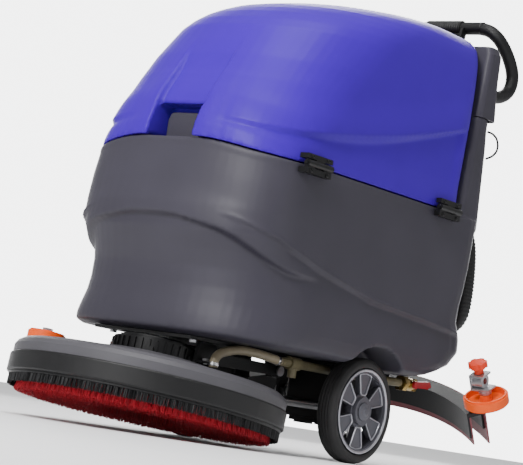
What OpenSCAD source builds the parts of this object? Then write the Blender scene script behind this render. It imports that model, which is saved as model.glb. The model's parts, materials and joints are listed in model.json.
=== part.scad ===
// Walk-behind floor scrubber. Millimetres, +Z up, the front faces -Y and the machine's left is +X.
// The origin is on the floor, under the middle of the whole machine.

/* [Main wheels] */
// Radius of the two main wheels
wheel_r = 106; // [104:1:108]
// Width of a main wheel's tread
wheel_w = 45; // [40:1:46]
// Distance between the middles of the two main wheels
track = 421; // [419:1:423]
// Radius of the main axle
axle_r = 10; // [8:1:12]

/* [Tanks] */
// Height of the lower tank's underside
tank_z0 = 195; // [195:1:197]
// Height of the seam between the lower and the upper tank
seam_z = 545; // [543:1:547]
// Wall of the moulded tanks
wall = 6; // [5:1:7]
// Roundness of the nose in plan: 2 is an ellipse, more is boxier
nose_n = 2.8; // [2.4:0.1:3]

/* [Scrub deck] */
// Diameter of the brush
brush_d = 510; // [500:2:512]
// Forward distance of the brush's middle from the origin
deck_y = 280; // [278:1:282]
// Height of the bristle tips at the brush's middle, deck raised
brush_z = 28; // [28:0.5:30]
// Front-up tilt of the raised deck, degrees
deck_tilt = 6; // [5:0.5:6]

/* [Squeegee] */
// Half width of the squeegee blade
squeegee_half = 355; // [350:1:360]
// Radius of the squeegee's curve
squeegee_arc = 537; // [530:1:545]
// Angle by which the raised squeegee is lifted
squeegee_lift = 30; // [28:1:30]

/* [Handle] */
// Radius of the handle tube
tube_r = 14; // [12:1:15]
// Height of the handle's crossbar
handle_z = 980; // [975:1:990]

/* [Hidden] */
$fn = 64;

run_gap = 0.05;          // radial clearance of everything that turns
axle_y = 120;            // main axle, behind the origin
wheel_x = track / 2;
rim_r = 0.8 * wheel_r;
pin_r = 6;

plate_z = 188;           // underside of the chassis plate
plate_t = 6;
plate_x = 120;
plate_front = -318;
plate_rear = 326;

deck_pivot = [-5, 160];  // y and z of the deck's lifting pivot
arm_x = 96;
arm_t = 8;
ring_r = 270;
motor_r = 85;
roller_r = 38;
wall_roller_x = -262;
wall_roller_y = -30;
wall_roller_z = 110;     // underside of the roller, above the cover

sq_pivot = [240, 130];   // y and z of the squeegee's lifting pivot
sq_centre_y = -30;       // middle of the squeegee's curve, lowered
sq_swivel = [458, 84];   // y and z of the swivel pin, lowered
sq_half_angle = asin(squeegee_half / squeegee_arc);
sq_roller = [345, 396, 70.4];   // seat of an end roller, lowered
sq_roller_r = 47;
sq_bolt_r = 5;

caster_y = 395;
caster_r = 30;
caster_trail = 18;

column_z1 = 765;         // joint between the rear column and the console
console_z1 = 920;
console_half = 241;
lever_pivot = [424, 800];
lever_x = 70;

lid_y = 285;
lid_r = 84;
lid_z = 946;
lid_hinge = [378, 950];

hinge_x = 262;
hinge_z = seam_z + 1.5;
hinge_ys = [-192, 283];
hinge_len = 80;
knuckle_r = 7;
hinge_pin_r = 4;

grip_w = 114;            // hand-grip notch in the nose of the upper tank
grip_h = 66;
grip_d = 72;

blue = [0.2, 0.18, 0.75];
grey = [0.33, 0.33, 0.36];
black = [0.09, 0.09, 0.1];
orange = [0.95, 0.36, 0.14];
red = [0.75, 0.08, 0.1];
zinc = [0.72, 0.73, 0.74];

// ---------- outlines and lofts ----------

function signed_pow(v, e) = sign(v) * pow(abs(v), e);

// Plan outline, counter-clockwise: half width, reach of the nose, depth of the nose's curve,
// rear face, rear corner radius and roundness of the nose
function plan(half, nose, depth, rear, corner, n = nose_n, nose_steps = 32, corner_steps = 5) = concat(
    [for (i = [0:nose_steps]) let (t = 180 + 180 * i / nose_steps)
        [half * signed_pow(cos(t), 2 / n), depth - nose + depth * signed_pow(sin(t), 2 / n)]],
    [for (i = [0:corner_steps]) let (t = 90 * i / corner_steps)
        [half - corner + corner * cos(t), rear - corner + corner * sin(t)]],
    [for (i = [0:corner_steps]) let (t = 90 + 90 * i / corner_steps)
        [corner - half + corner * cos(t), rear - corner + corner * sin(t)]]
);

// Plan outline of a rounded rectangle with its own front and rear
function slab_plan(half, front, rear, front_r, rear_r, steps = 6) = concat(
    [for (i = [0:steps]) let (t = 180 + 90 * i / steps)
        [front_r - half + front_r * cos(t), front + front_r + front_r * sin(t)]],
    [for (i = [0:steps]) let (t = 270 + 90 * i / steps)
        [half - front_r + front_r * cos(t), front + front_r + front_r * sin(t)]],
    [for (i = [0:steps]) let (t = 90 * i / steps)
        [half - rear_r + rear_r * cos(t), rear - rear_r + rear_r * sin(t)]],
    [for (i = [0:steps]) let (t = 90 + 90 * i / steps)
        [rear_r - half + rear_r * cos(t), rear - rear_r + rear_r * sin(t)]]
);

// Closed solid through a stack of outlines, each given as [height, outline]
module loft(stack) {
    n = len(stack[0][1]);
    m = len(stack);
    points = [for (s = stack) for (p = s[1]) [p[0], p[1], s[0]]];
    sides = [for (k = [0:m - 2]) for (i = [0:n - 1]) let (j = (i + 1) % n, a = k * n)
        each [[a + i, a + n + i, a + n + j], [a + i, a + n + j, a + j]]];
    bottom = [[for (i = [0:n - 1]) i]];
    top = [[for (i = [0:n - 1]) m * n - 1 - i]];
    polyhedron(points, concat(bottom, sides, top), convexity = 10);
}

// ---------- sweeps along a route ----------

function unit(v) = v / norm(v);

// Smooth curve through points, with steps rings between each two
function route(p, steps) = concat(
    [for (i = [0:len(p) - 2]) for (s = [0:steps - 1]) let (
        t = s / steps,
        a = p[max(i - 1, 0)], b = p[i], c = p[i + 1], d = p[min(i + 2, len(p) - 1)])
        0.5 * (2 * b + (c - a) * t + (2 * a - 5 * b + 4 * c - d) * t * t
            + (3 * b - a - 3 * c + d) * t * t * t)],
    [p[len(p) - 1]]
);

function heading(p, i) = unit(p[min(i + 1, len(p) - 1)] - p[max(i - 1, 0)]);

// Solid tube of radius r along the path p; side is never parallel to the path
module sweep(p, r, sides = 10, side = [0, 0, 1]) {
    m = len(p);
    points = [for (i = [0:m - 1]) let (t = heading(p, i), u = unit(cross(side, t)), w = cross(t, u))
        for (k = [0:sides - 1]) let (a = 360 * k / sides) p[i] + r * (cos(a) * u + sin(a) * w)];
    skin = [for (i = [0:m - 2]) for (k = [0:sides - 1]) let (j = (k + 1) % sides, a = i * sides)
        each [[a + k, a + sides + k, a + sides + j], [a + k, a + sides + j, a + j]]];
    first = [[for (k = [0:sides - 1]) k]];
    last = [[for (k = [0:sides - 1]) m * sides - 1 - k]];
    polyhedron(points, concat(first, skin, last), convexity = 10);
}

// ---------- placing and small shapes ----------

module x_cylinder(r, x0, x1, y, z) {
    translate([x0, y, z]) rotate([0, 90, 0]) cylinder(r = r, h = x1 - x0);
}

module y_cylinder(r, y0, y1, x, z) {
    translate([x, y0, z]) rotate([-90, 0, 0]) cylinder(r = r, h = y1 - y0);
}

// Plate across X between x0 and x1, with its outline given in y and z
module side_plate(x0, x1, outline) {
    translate([x0, 0, 0]) rotate([90, 0, 90]) linear_extrude(x1 - x0) polygon(outline);
}

module box(low, high) {
    translate(low) cube(high - low);
}

module both_sides() {
    children();
    mirror([1, 0, 0]) children();
}

module at_deck() {
    translate([0, -deck_y, brush_z]) rotate([-deck_tilt, 0, 0]) children();
}

module at_squeegee() {
    translate([0, sq_pivot[0], sq_pivot[1]]) rotate([squeegee_lift, 0, 0])
        translate([0, -sq_pivot[0], -sq_pivot[1]]) children();
}

// Strip along the squeegee's curve between two radii and two heights
module squeegee_strip(r0, r1, z0, z1, half_angle) {
    translate([0, sq_centre_y, 0]) rotate([0, 0, 90 - half_angle])
        rotate_extrude(angle = 2 * half_angle, $fn = 128) translate([r0, z0]) square([r1 - r0, z1 - z0]);
}

module hex_bolt(r, shank, head = 5) {
    cylinder(r = r, h = shank, $fn = 24);
    translate([0, 0, -head]) cylinder(r = 1.8 * r, h = head, $fn = 6);
}

// ---------- chassis ----------

frame_bolt_xy = [for (x = [-100, 100]) for (y = [-285, -130, 60, 235, 300]) [x, y]];

module chassis_frame() {
    color(black) difference() {
        union() {
            box([-plate_x, plate_front, plate_z], [plate_x, plate_rear, plate_z + plate_t]);
            both_sides() {
                // Axle hangers
                side_plate(161, 169, [[85, 188], [155, 188], [140, 92], [100, 92]]);
                box([110, 85, plate_z], [169, 155, plate_z + plate_t]);
                // Ears of the deck's lifting pivot
                side_plate(82, 88, [[-35, 189], [25, 189], [10, 146], [-20, 146]]);
                // Ears of the squeegee's lifting pivot
                side_plate(62, 68, [[218, 189], [262, 189], [254, 114], [226, 114]]);
                // Caster support
                side_plate(38, 42, [[290, 189], [430, 189], [430, 94], [350, 94]]);
            }
            box([-42, 355, 94], [42, 430, 100]);
        }
        x_cylinder(axle_r + run_gap, -200, 200, axle_y, wheel_r);
        x_cylinder(pin_r + run_gap, -100, 100, deck_pivot[0], deck_pivot[1]);
        x_cylinder(pin_r + run_gap, -100, 100, sq_pivot[0], sq_pivot[1]);
        translate([0, caster_y, 90]) cylinder(r = 12, h = 20);
        for (p = frame_bolt_xy) translate([p[0], p[1], plate_z - 1]) cylinder(r = 4.1, h = 10, $fn = 24);
    }
}

module frame_bolts() {
    color(zinc) for (p = frame_bolt_xy) translate([p[0], p[1], plate_z]) hex_bolt(4, plate_t);
}

module pivot_pins() {
    color(zinc) {
        both_sides() {
            x_cylinder(pin_r, 76, 104, deck_pivot[0], deck_pivot[1]);
            x_cylinder(10, 104, 108, deck_pivot[0], deck_pivot[1]);
        }
        x_cylinder(pin_r, -72, 72, sq_pivot[0], sq_pivot[1]);
        both_sides() x_cylinder(10, 72, 76, sq_pivot[0], sq_pivot[1]);
    }
}

module main_axle() {
    color(zinc) {
        x_cylinder(axle_r, -wheel_x - 23, wheel_x + 23, axle_y, wheel_r);
        both_sides() x_cylinder(15, wheel_x + 23, wheel_x + 27, axle_y, wheel_r);
    }
}

// ---------- main wheels ----------

spokes = 6;

// Wheel about the X axis with its outer face towards +X
module rim() {
    rotate([0, 90, 0]) difference() {
        union() {
            rotate_extrude($fn = 96) {
                translate([axle_r + run_gap, -22]) square([18, 44]);
                translate([28, 2]) square([rim_r - 28, 12]);
                translate([rim_r - 8, -20]) square([8, 40]);
            }
        }
        for (i = [0:spokes - 1]) rotate([0, 0, 60 * i + 30]) translate([0, 0, -1]) linear_extrude(20)
            polygon([[34, -8], [rim_r - 12, -20], [rim_r - 9, 0], [rim_r - 12, 20], [34, 8]]);
    }
}

module tyre() {
    edge = 9;
    half = wheel_w / 2;
    rotate([0, 90, 0]) rotate_extrude($fn = 96) {
        translate([rim_r, edge - half]) square([wheel_r - rim_r, wheel_w - 2 * edge]);
        translate([rim_r, -half]) square([wheel_r - rim_r - edge, wheel_w]);
        for (s = [-1, 1]) translate([wheel_r - edge, s * (half - edge)]) circle(r = edge, $fn = 48);
    }
}

module left_rim() {
    color([0.55, 0.54, 0.57]) translate([wheel_x, axle_y, wheel_r]) rim();
}

module left_tyre() {
    color([0.2, 0.2, 0.21]) translate([wheel_x, axle_y, wheel_r]) tyre();
}

module right_rim() {
    mirror([1, 0, 0]) left_rim();
}

module right_tyre() {
    mirror([1, 0, 0]) left_tyre();
}

// ---------- rear caster ----------

module caster_mount() {
    color(zinc) difference() {
        union() {
            box([-36, caster_y - 32, 88], [36, caster_y + 32, 94]);
            translate([0, caster_y, 84]) cylinder(r = 20, h = 6);
        }
        translate([0, caster_y, 80]) cylinder(r = 8 + run_gap, h = 20);
    }
}

module caster_fork() {
    color(zinc) {
        translate([0, caster_y, 78]) cylinder(r = 8, h = 18);
        translate([0, caster_y, 78]) cylinder(r = 18, h = 5.5);
        box([-19, caster_y - 14, 74], [19, caster_y + 26, 78]);
        both_sides() side_plate(15, 19, [[caster_y - 12, 76], [caster_y + 26, 76],
            [caster_y + 27, 22], [caster_y + 9, 22]]);
        x_cylinder(5, -22, 22, caster_y + caster_trail, caster_r);
    }
}

module caster_wheel() {
    color([0.25, 0.25, 0.26]) translate([0, caster_y + caster_trail, caster_r])
        rotate([0, 90, 0]) rotate_extrude($fn = 64) {
            translate([5 + run_gap, -13]) square([10, 26]);
            translate([15, -9]) square([9, 18]);
            translate([22, -12]) square([5, 24]);
            translate([22, -9]) square([8, 18]);
            for (s = [-1, 1]) translate([27, 9 * s]) circle(r = 3, $fn = 24);
        }
}

// ---------- lower tank ----------

// Height, half width, reach of the nose, depth of its curve, rear face and rear corner radius
lower_levels = [
    [tank_z0, 238, 320, 190, 350, 124], [203, 252, 334, 205, 380, 123], [216, 255, 335, 217, 414, 115],
    [232, 256, 334, 235, 448, 107], [262, 255, 330, 255, 468, 91], [290, 254, 327, 248, 469, 93],
    [325, 252, 329, 232, 457, 98], [360, 251, 338, 214, 446, 77], [394, 250, 348, 177, 450, 69],
    [440, 250, 345, 161, 456, 69], [490, 249, 338, 157, 459, 67], [seam_z, 248, 330, 167, 463, 64]
];
arch_r = 132;
well = [[-150, 118, 236], [150, 418, seam_z + 1]];

function lower_stack(skin, z0, z1) = [for (s = lower_levels)
    [min(max(s[0], z0), z1), plan(s[1] - skin, s[2] - skin, s[3] - skin, s[4] - skin, s[5] - skin)]];

// Rear face of the upper tank at a height; the column and the console stand behind it
function back_y(z) = 355 + 0.096 * (z - seam_z);

column_levels = [[seam_z - 20, 461], [seam_z, 461], [620, 456], [700, 451], [740, 446], [column_z1, 446]];

function column_stack(skin, z0, z1) = [for (s = column_levels)
    [min(max(s[0], z0), z1),
        slab_plan(240 - skin, back_y(s[0]) + 4 + skin, s[1] - skin, 14 - skin, 40 - skin)]];

module wheel_arches(r) {
    both_sides() x_cylinder(r, 172 - (r - arch_r), 300, axle_y, wheel_r);
}

module neck(r, y0, y1) {
    y_cylinder(r, y0, y1, -120, 690);
}

module solution_tank() {
    color(grey) difference() {
        union() {
            difference() {
                union() {
                    loft(lower_stack(0, 0, 999));
                    loft(column_stack(0, 0, 999));
                }
                difference() {
                    union() {
                        loft(lower_stack(wall, tank_z0 + wall, seam_z - wall));
                        loft(column_stack(wall, 0, column_z1 - wall));
                    }
                    wheel_arches(arch_r + wall);
                    box([well[0][0] - wall, well[0][1] - wall, 200],
                        [well[1][0] + wall, well[1][1] + wall, 600]);
                }
            }
            neck(32, 440, 466);
            // Block behind the hand-grip notch of the upper tank
            translate([0, -272, 0]) rotate([90, 0, 0]) linear_extrude(20) {
                translate([-40, seam_z - 10]) square([80, 52]);
                translate([-28, seam_z - 10]) square([56, 64]);
                for (s = [-1, 1]) translate([28 * s, seam_z + 42]) circle(r = 12, $fn = 48);
            }
        }
        wheel_arches(arch_r);
        box(well[0], well[1]);
        neck(26, 420, 476);
    }
}

module fill_cap() {
    color(black) {
        neck(25.92, 456, 467);
        difference() {
            neck(38, 466.2, 482);
            for (i = [0:11]) translate([-120, 0, 690]) rotate([0, 30 * i, 0])
                y_cylinder(4, 470, 486, 39.5, 0);
        }
    }
}

battery = [[6, 128, 238], [144, 408, 448]];

module battery_cases() {
    color(black) both_sides() {
        difference() {
            box(battery[0], battery[1]);
            box(battery[0] + [5, 5, 5], battery[1] - [5, 5, 5]);
            translate([75, 268, 440]) cylinder(r = 6, h = 20);
        }
        for (y = [160, 376]) translate([75, y, 448]) cylinder(r = 8, h = 14);
    }
}

module battery_plates() {
    color([0.4, 0.4, 0.42]) both_sides() box(battery[0] + [8, 8, 5], battery[1] - [8, 8, 60]);
}

// ---------- water system under the tank ----------

module solution_pump() {
    color(black) {
        box([24, 146, 78], [112, 214, plate_z]);
        box([12, 158, 78], [124, 202, plate_z]);
        for (x = [24, 112]) for (y = [158, 202]) translate([x, y, 78]) cylinder(r = 12, h = plate_z - 78);
        box([24, 158, 70], [112, 202, 78]);
        translate([46, 180, 66]) cylinder(r = 20, h = 6);
        translate([92, 180, 67]) cylinder(r = 14, h = 6);
    }
}

pipe_route = [[140, -56, 178], [140, 40, 178], [140, 150, 178], [141, 215, 178], [152, 270, 179],
    [170, 310, 180], [174, 324, 180]];
hose_route = [[140, -57.5, 178], [140, -85, 180], [134, -130, 184], [129, -175, 184], [128, -213, 177],
    [129, -237, 169], [130, -249, 157], [130, -250, 143]];

module solution_pipe() {
    color([0.42, 0.38, 0.28]) {
        sweep(route(pipe_route, 4), 9, 12);
        y_cylinder(13, -30, 4, 140, 178);
        translate([140, -13, 150]) cylinder(r = 9, h = 28);
    }
}

module solution_hose() {
    color([0.62, 0.57, 0.45]) sweep(route(hose_route, 5), 9, 12, [1, 0, 0]);
}

valve_x = 174;
valve_z = 180;

module drain_valve() {
    color([0.78, 0.6, 0.25]) difference() {
        union() {
            y_cylinder(13, 326, 372, valve_x, valve_z);
            translate([valve_x, 340, valve_z]) rotate([90, 0, 0]) cylinder(r = 17, h = 14, $fn = 6);
            translate([valve_x, 378, valve_z]) rotate([90, 0, 0]) cylinder(r = 15, h = 10, $fn = 6);
            x_cylinder(8, valve_x, valve_x + 18, 354, valve_z);
        }
        y_cylinder(8, 346, 380, valve_x, valve_z);
        x_cylinder(3 + run_gap, valve_x + 12, valve_x + 20, 354, valve_z);
    }
}

module drain_lever() {
    color(red) {
        x_cylinder(3, valve_x + 13, valve_x + 20, 354, valve_z);
        x_cylinder(8, valve_x + 18.4, valve_x + 24, 354, valve_z);
        side_plate(valve_x + 19, valve_x + 24, [[352, 174], [400, 176], [412, 182], [404, 192], [352, 187]]);
    }
}

// ---------- scrub deck ----------

module deck_arms() {
    color(black) both_sides() difference() {
        union() {
            side_plate(arm_x - arm_t / 2, arm_x + arm_t / 2, [[9, 150], [9, 170], [-205, 172], [-212, 186],
                [-262, 186], [-268, 148], [-226, 148]]);
            x_cylinder(14, arm_x - arm_t / 2, arm_x + arm_t / 2, deck_pivot[0], deck_pivot[1]);
            box([arm_x - arm_t / 2, -266, 148], [arm_x + 18, -228, 152]);
        }
        x_cylinder(pin_r + run_gap, 80, 120, deck_pivot[0], deck_pivot[1]);
        translate([arm_x + 11, -247, 140]) cylinder(r = 4.1, h = 20, $fn = 24);
    }
}

module deck_cover() {
    color(grey) at_deck() difference() {
        union() {
            rotate_extrude($fn = 128) polygon([[24, 113], [104, 113], [138, 107], [246, 93], [262, 80], [262, 68],
                [266, 68], [266, 84], [261, 92], [252, 98], [140, 112], [108, 118], [24, 118]]);
            // Lug that carries the wall roller
            translate([wall_roller_x, wall_roller_y, 70]) cylinder(r = 16, h = 8);
            box([wall_roller_x, wall_roller_y - 16, 70], [-236, wall_roller_y + 16, 78]);
            translate([wall_roller_x, wall_roller_y, 70]) cylinder(r = 6, h = wall_roller_z - 42);
        }
        for (a = [0:60:300]) rotate([0, 0, a + 30]) translate([94, 0, 100])
            cylinder(r = 3.1, h = 30, $fn = 24);
    }
}

module bumper_ring() {
    color(black) at_deck() difference() {
        rotate_extrude($fn = 128) {
            translate([258, 31]) square([6, 37]);
            translate([258, 35]) square([ring_r - 258, 29]);
            for (z = [35, 64]) translate([ring_r - 4, z]) circle(r = 4, $fn = 24);
        }
        translate([wall_roller_x, wall_roller_y, 60]) cylinder(r = 18, h = 30);
    }
}

module splash_skirt() {
    color(black) at_deck() rotate_extrude($fn = 96) translate([257, 12]) square([8, 19]);
}

module brush_motor() {
    color(black) at_deck() {
        translate([0, 0, 118.1]) cylinder(r = motor_r, h = 26);
        translate([0, 0, 144]) cylinder(r = motor_r - 12, h = 5);
        for (a = [0:60:300]) rotate([0, 0, a]) translate([motor_r - 5, -9, 118.1]) cube([12, 18, 10]);
    }
}

module gearbox() {
    color([0.5, 0.5, 0.52]) at_deck() {
        translate([0, 0, 72]) cylinder(r = 62, h = 41);
        translate([0, 0, 113]) cylinder(r = 23.9, h = 5);
    }
}

module deck_bolts() {
    color(zinc) {
        both_sides() translate([arm_x + 11, -247, 152]) {
            translate([0, 0, -6]) cylinder(r = 4, h = 6, $fn = 24);
            cylinder(r = 6.6, h = 5, $fn = 6);
        }
        at_deck() translate([wall_roller_x, wall_roller_y, wall_roller_z + 28.1])
            cylinder(r = 11, h = 5, $fn = 6);
    }
}

module wall_roller() {
    color(orange) at_deck() translate([wall_roller_x, wall_roller_y, wall_roller_z]) difference() {
        union() {
            cylinder(r = roller_r - 3, h = 26);
            translate([0, 0, 3]) cylinder(r = roller_r, h = 20);
        }
        translate([0, 0, 20]) cylinder(r = roller_r - 8, h = 20);
        translate([0, 0, -5]) cylinder(r = 6 + run_gap, h = 50);
    }
}

module drive_hub() {
    color([0.45, 0.45, 0.47]) at_deck() {
        translate([0, 0, 52]) cylinder(r = 12, h = 19.9);
        translate([0, 0, 52]) cylinder(r = 48, h = 8);
        for (a = [0:120:240]) rotate([0, 0, a]) translate([30, -8, 52]) cube([34, 16, 6]);
    }
}

module brush_block() {
    color(black) at_deck() difference() {
        translate([0, 0, 38]) cylinder(r = 250, h = 14, $fn = 96);
        translate([0, 0, 30]) cylinder(r = 60, h = 30);
    }
}

module brush_bristles() {
    color(red) at_deck() rotate_extrude($fn = 96) polygon([[78, 0], [brush_d / 2, 0], [246, 38], [86, 38]]);
}

// ---------- squeegee ----------

module squeegee_arm() {
    color(black) at_squeegee() difference() {
        union() {
            both_sides() {
                side_plate(51, 58, [[228, 140], [252, 142], [452, 104], [468, 100], [468, 80],
                    [448, 78], [232, 116]]);
                x_cylinder(14, 51, 58, sq_pivot[0], sq_pivot[1]);
            }
            box([-58, 446, 80], [58, 470, 100]);
        }
        x_cylinder(pin_r + run_gap, -70, 70, sq_pivot[0], sq_pivot[1]);
        translate([0, sq_swivel[0], 60]) cylinder(r = pin_r + run_gap, h = 60);
    }
}

module squeegee_body() {
    color([0.22, 0.22, 0.23]) at_squeegee() difference() {
        union() {
            squeegee_strip(499, 533, 62, 70, sq_half_angle - 1.2);
            squeegee_strip(499, 503, 16, 66, sq_half_angle - 1.2);
            squeegee_strip(529, 533, 30, 66, sq_half_angle - 1.2);
            // Swivel pin and its seat
            box([-24, 440, 62], [24, 478, 78]);
            translate([0, sq_swivel[0], 70]) cylinder(r = pin_r, h = 36);
            translate([0, sq_swivel[0], 101]) cylinder(r = 11, h = 5);
            // Suction spout, upright when the squeegee is lifted
            translate([0, 492, 56]) rotate([-squeegee_lift, 0, 0]) cylinder(r = 18, h = 52);
            // Seats of the end rollers, over the rear blade
            both_sides() {
                translate([318, 384, 66]) cylinder(r = 8, h = 9);
                translate([sq_roller[0], sq_roller[1], sq_roller[2]]) {
                    cylinder(r = 16, h = 4.6);
                    translate([-34, -18, 0]) cube([34, 30, 4.6]);
                    cylinder(r = sq_bolt_r, h = 31.9);
                    translate([0, 0, -6]) cylinder(r = 8, h = 7, $fn = 6);
                }
            }
        }
        translate([0, 492, 56]) rotate([-squeegee_lift, 0, 0])
            translate([0, 0, -12]) cylinder(r = 14, h = 80);
        // Room for the blades and their straps
        squeegee_strip(533.1, 539.6, -1, 70.3, sq_half_angle + 2);
        squeegee_strip(503.05, 509, -1, 61.95, sq_half_angle + 2);
    }
}

module front_blade() {
    color([0.55, 0.2, 0.22]) at_squeegee() squeegee_strip(503.2, 506.4, 1, 61.8, sq_half_angle - 1);
}

module rear_blade() {
    color([0.62, 0.28, 0.3]) at_squeegee() squeegee_strip(533.5, 537, 0, 70, sq_half_angle);
}

module blade_straps() {
    color(zinc) at_squeegee() {
        squeegee_strip(537.4, 539.4, 46, 62, sq_half_angle - 2.5);
        squeegee_strip(506.8, 508.8, 22, 36, sq_half_angle - 2.5);
    }
}

module knob_brackets() {
    color(zinc) at_squeegee() both_sides() difference() {
        union() {
            translate([sq_roller[0], sq_roller[1], 102.4]) cylinder(r = 13, h = 5);
            translate([sq_roller[0], sq_roller[1], 102.4]) cylinder(r = 11, h = 10);
            box([318, 384, 110], [360, 416, 114]);
            box([318, 384, 114], [322, 416, 144]);
            box([318, 384, 140], [352, 416, 144]);
            x_cylinder(15, 322, 346, 400, 128);
        }
        translate([334, 400, 117]) cylinder(r = 5 + run_gap, h = 60);
        x_cylinder(7, 310, 350, 400, 128);
    }
}

module end_roller() {
    difference() {
        union() {
            cylinder(r = sq_roller_r - 3, h = 24);
            translate([0, 0, 3]) cylinder(r = sq_roller_r, h = 18);
        }
        translate([0, 0, 11]) cylinder(r = sq_roller_r - 7, h = 30);
        translate([0, 0, -30]) cylinder(r = sq_bolt_r + run_gap, h = 60);
    }
    difference() {
        translate([0, 0, 10]) cylinder(r = 13, h = 15);
        translate([0, 0, -30]) cylinder(r = sq_bolt_r + run_gap, h = 60);
    }
}

module left_roller() {
    color(orange) at_squeegee() translate([sq_roller[0], sq_roller[1], sq_roller[2] + 5.6]) end_roller();
}

module right_roller() {
    mirror([1, 0, 0]) left_roller();
}

module left_knob() {
    color(orange) at_squeegee() translate([334, 400, 0]) {
        translate([0, 0, 118]) cylinder(r = 5, h = 32);
        translate([0, 0, 145]) cylinder(r = 10, h = 14);
        difference() {
            translate([0, 0, 158]) cylinder(r = 20, h = 12);
            for (i = [0:5]) rotate([0, 0, 60 * i]) translate([24, 0, 150]) cylinder(r = 7, h = 30, $fn = 32);
        }
    }
}

module right_knob() {
    mirror([1, 0, 0]) left_knob();
}

suction_route = [[0, 495.2, 247], [0, 495.5, 262], [16, 502, 283], [60, 510, 296], [110, 512, 308],
    [158, 508, 322], [186, 501, 348], [193, 497, 400], [190, 496, 460], [184, 494, 500], [172, 492, 530],
    [158, 487, 550], [148, 477, 558], [148, 463.8, 558]];

module suction_hose() {
    color(black) sweep(route(suction_route, 4), 20, 12, [0, 1, 0.2]);
}

// ---------- upper tank ----------

// Height, half width, reach of the nose, depth of its curve, rear corner radius and roundness
upper_levels = [
    [seam_z + 3, 248, 332, 172, 45, 2.8], [575, 248, 327, 180, 45, 2.8], [640, 246.5, 303, 200, 45, 2.65],
    [701, 244.5, 277, 220, 45, 2.5], [750, 243, 249, 235, 45, 2.45], [795, 241, 217, 250, 45, 2.4],
    [820, 239.5, 199, 256, 45, 2.35], [841, 238, 176, 260, 45, 2.3], [860, 235.5, 149, 264, 44, 2.25],
    [874, 233, 123, 265, 43, 2.2], [888, 229, 91, 262, 42, 2.15], [900, 224, 51, 250, 40, 2.1],
    [910, 216, 14, 242, 38, 2.05], [918, 206, -21, 232, 36, 2], [925, 193, -62, 215, 33, 2],
    [931, 178, -98, 195, 30, 2], [936, 160, -122, 175, 25, 2], [940, 140, -140, 155, 20, 2],
    [944, 110, -160, 125, 10, 2]
];
// The skin gets thicker in height towards the flat roof
function roof_drop(z, skin) = skin * min(1, max(0, (z - 780) / 110));

function upper_stack(skin, z0) = [for (s = upper_levels)
    [max(s[0] - roof_drop(s[0], skin), z0),
        plan(s[1] - skin, s[2] - skin, s[3] - skin, back_y(s[0]) - skin, max(s[4] - skin, 3), s[5])]];

module upper_hollow() {
    difference() {
        loft(upper_stack(wall, seam_z + 3 + wall));
        box([-grip_w / 2 - wall, -400, 500],
            [grip_w / 2 + wall, grip_d - seam_nose + wall, seam_z + 3 + grip_h + wall]);
    }
}

module recovery_tank() {
    color(blue) difference() {
        union() {
            difference() {
                union() {
                    loft(upper_stack(0, 0));
                    translate([0, lid_y, 925]) cylinder(r = lid_r - 2, h = lid_z - 925, $fn = 96);
                }
                upper_hollow();
            }
            // Guide rod of the float
            translate([100, 200, seam_z + 3 + wall - 1]) cylinder(r = 3, h = 110, $fn = 24);
            // Ears of the lid's hinge
            for (s = [-1, 1])
                box([30 * s - 5, lid_hinge[0] - 7, 930], [30 * s + 5, lid_hinge[0] + 7, lid_hinge[1]]);
            for (s = [-1, 1]) x_cylinder(6, 30 * s - 5, 30 * s + 5, lid_hinge[0], lid_hinge[1]);
        }
        translate([0, lid_y, 880]) cylinder(r = lid_r - 20, h = 80, $fn = 96);
        box([-grip_w / 2, -400, 500], [grip_w / 2, grip_d - seam_nose, seam_z + 3 + grip_h]);
        x_cylinder(3 + run_gap, -50, 50, lid_hinge[0], lid_hinge[1]);
    }
}

module tank_lid() {
    color(blue) {
        translate([0, lid_y, lid_z]) rotate_extrude($fn = 96) polygon([[0, 0], [lid_r, 0], [lid_r, 3],
            [lid_r - 3, 6], [lid_r - 14, 8], [0, 10]]);
        translate([0, lid_y, lid_z - 14]) difference() {
            cylinder(r = lid_r - 22, h = 15, $fn = 96);
            translate([0, 0, -1]) cylinder(r = lid_r - 27, h = 15, $fn = 96);
        }
        box([-20, lid_y + lid_r - 12, lid_z + 1], [20, lid_hinge[0], lid_z + 6]);
        x_cylinder(6, -24, 24, lid_hinge[0], lid_hinge[1]);
        x_cylinder(3, -36, 36, lid_hinge[0], lid_hinge[1]);
    }
}

module vacuum_motor() {
    color(black) translate([-110, 250, seam_z + 3 + wall + 1]) {
        cylinder(r = 62, h = 70);
        translate([0, 0, 70]) cylinder(r = 45, h = 50);
        translate([0, 0, 120]) cylinder(r = 18, h = 8);
    }
}

module float_ball() {
    color(orange) translate([100, 200, seam_z + 3 + wall + 1]) rotate_extrude($fn = 48)
        polygon([[3 + run_gap, 0], [18, 0], [26, 10], [28, 22], [26, 34], [18, 44], [3 + run_gap, 44]]);
}

// ---------- tilt hinges of the upper tank ----------

// Side of the lower tank at a y, for the plates that lie against it
seam_half = 248;
seam_nose = 330;
seam_depth = 167;

function side_x(y) = let (d = max(0, seam_depth - seam_nose - y) / seam_depth)
    seam_half * pow(1 - pow(d, nose_n), 1 / nose_n);

module hinge_block(y0, z0, z1) {
    a = y0 - hinge_len / 2;
    b = y0 + hinge_len / 2;
    translate([0, 0, z0]) linear_extrude(z1 - z0)
        polygon([[side_x(a) + 3.4, a], [hinge_x + 2, a], [hinge_x + 2, b], [side_x(b) + 1.4, b],
            [side_x(y0) + 2, y0]]);
}

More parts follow.
